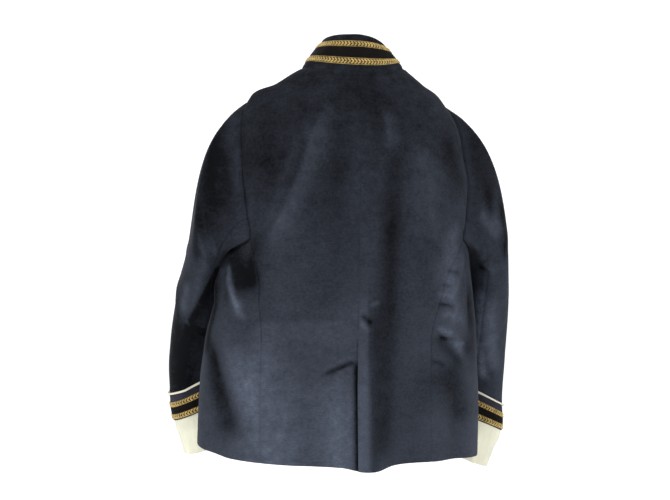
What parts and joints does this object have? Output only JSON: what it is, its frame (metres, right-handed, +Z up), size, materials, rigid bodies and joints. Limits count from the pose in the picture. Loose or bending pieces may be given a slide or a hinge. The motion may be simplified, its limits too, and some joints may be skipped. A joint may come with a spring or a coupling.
{
  "type": "blazer",
  "caption": "Long-sleeved velvet blazer with a trimmed stand collar, panelled back with a centre vent, buttoned front and braided cuffs, filled out as worn.",
  "frame": {"origin": "middle of the neck opening at the height of the shoulder points, on the garment's middle plane: where a wearer's shoulders hold it", "axes": "+Z up, -Y out of the buttoned front, +X to the wearer's left side"},
  "size_m": [0.6506, 0.3389, 0.8031],
  "materials": {
    "velvet": "dark slate-blue cotton velvet, short pile, with its lining",
    "ribbon": "black ribbed ribbon",
    "braid": "dull gold metallic thread, plaited",
    "cream": "cream satin, and a twisted cream cord",
    "facing": "grey-beige satin",
    "button": "dark horn-like plastic"
  },
  "bodies": {
    "root": {"back_left": "velvet", "side_left": "velvet", "front_left": "velvet", "sleeve_upper_left": "velvet", "sleeve_under_left": "velvet", "cuff_left": "velvet", "cuff_piping_left": "cream", "cuff_braid_upper_left": "braid", "cuff_ribbon_left": "ribbon", "cuff_braid_lower_left": "braid", "cuff_lining_left": "cream", "back_right": "velvet", "side_right": "velvet", "front_right": "velvet", "sleeve_upper_right": "velvet", "sleeve_under_right": "velvet", "cuff_right": "velvet", "cuff_piping_right": "cream", "cuff_braid_upper_right": "braid", "cuff_ribbon_right": "ribbon", "cuff_braid_lower_right": "braid", "cuff_lining_right": "cream", "collar": "velvet", "collar_braid_lower": "braid", "collar_ribbon": "ribbon", "collar_braid_upper": "braid", "collar_facing": "facing", "button_1": "button", "button_2": "button", "button_3": "button", "button_4": "button", "button_5": "button"}
  },
  "joints": []
}
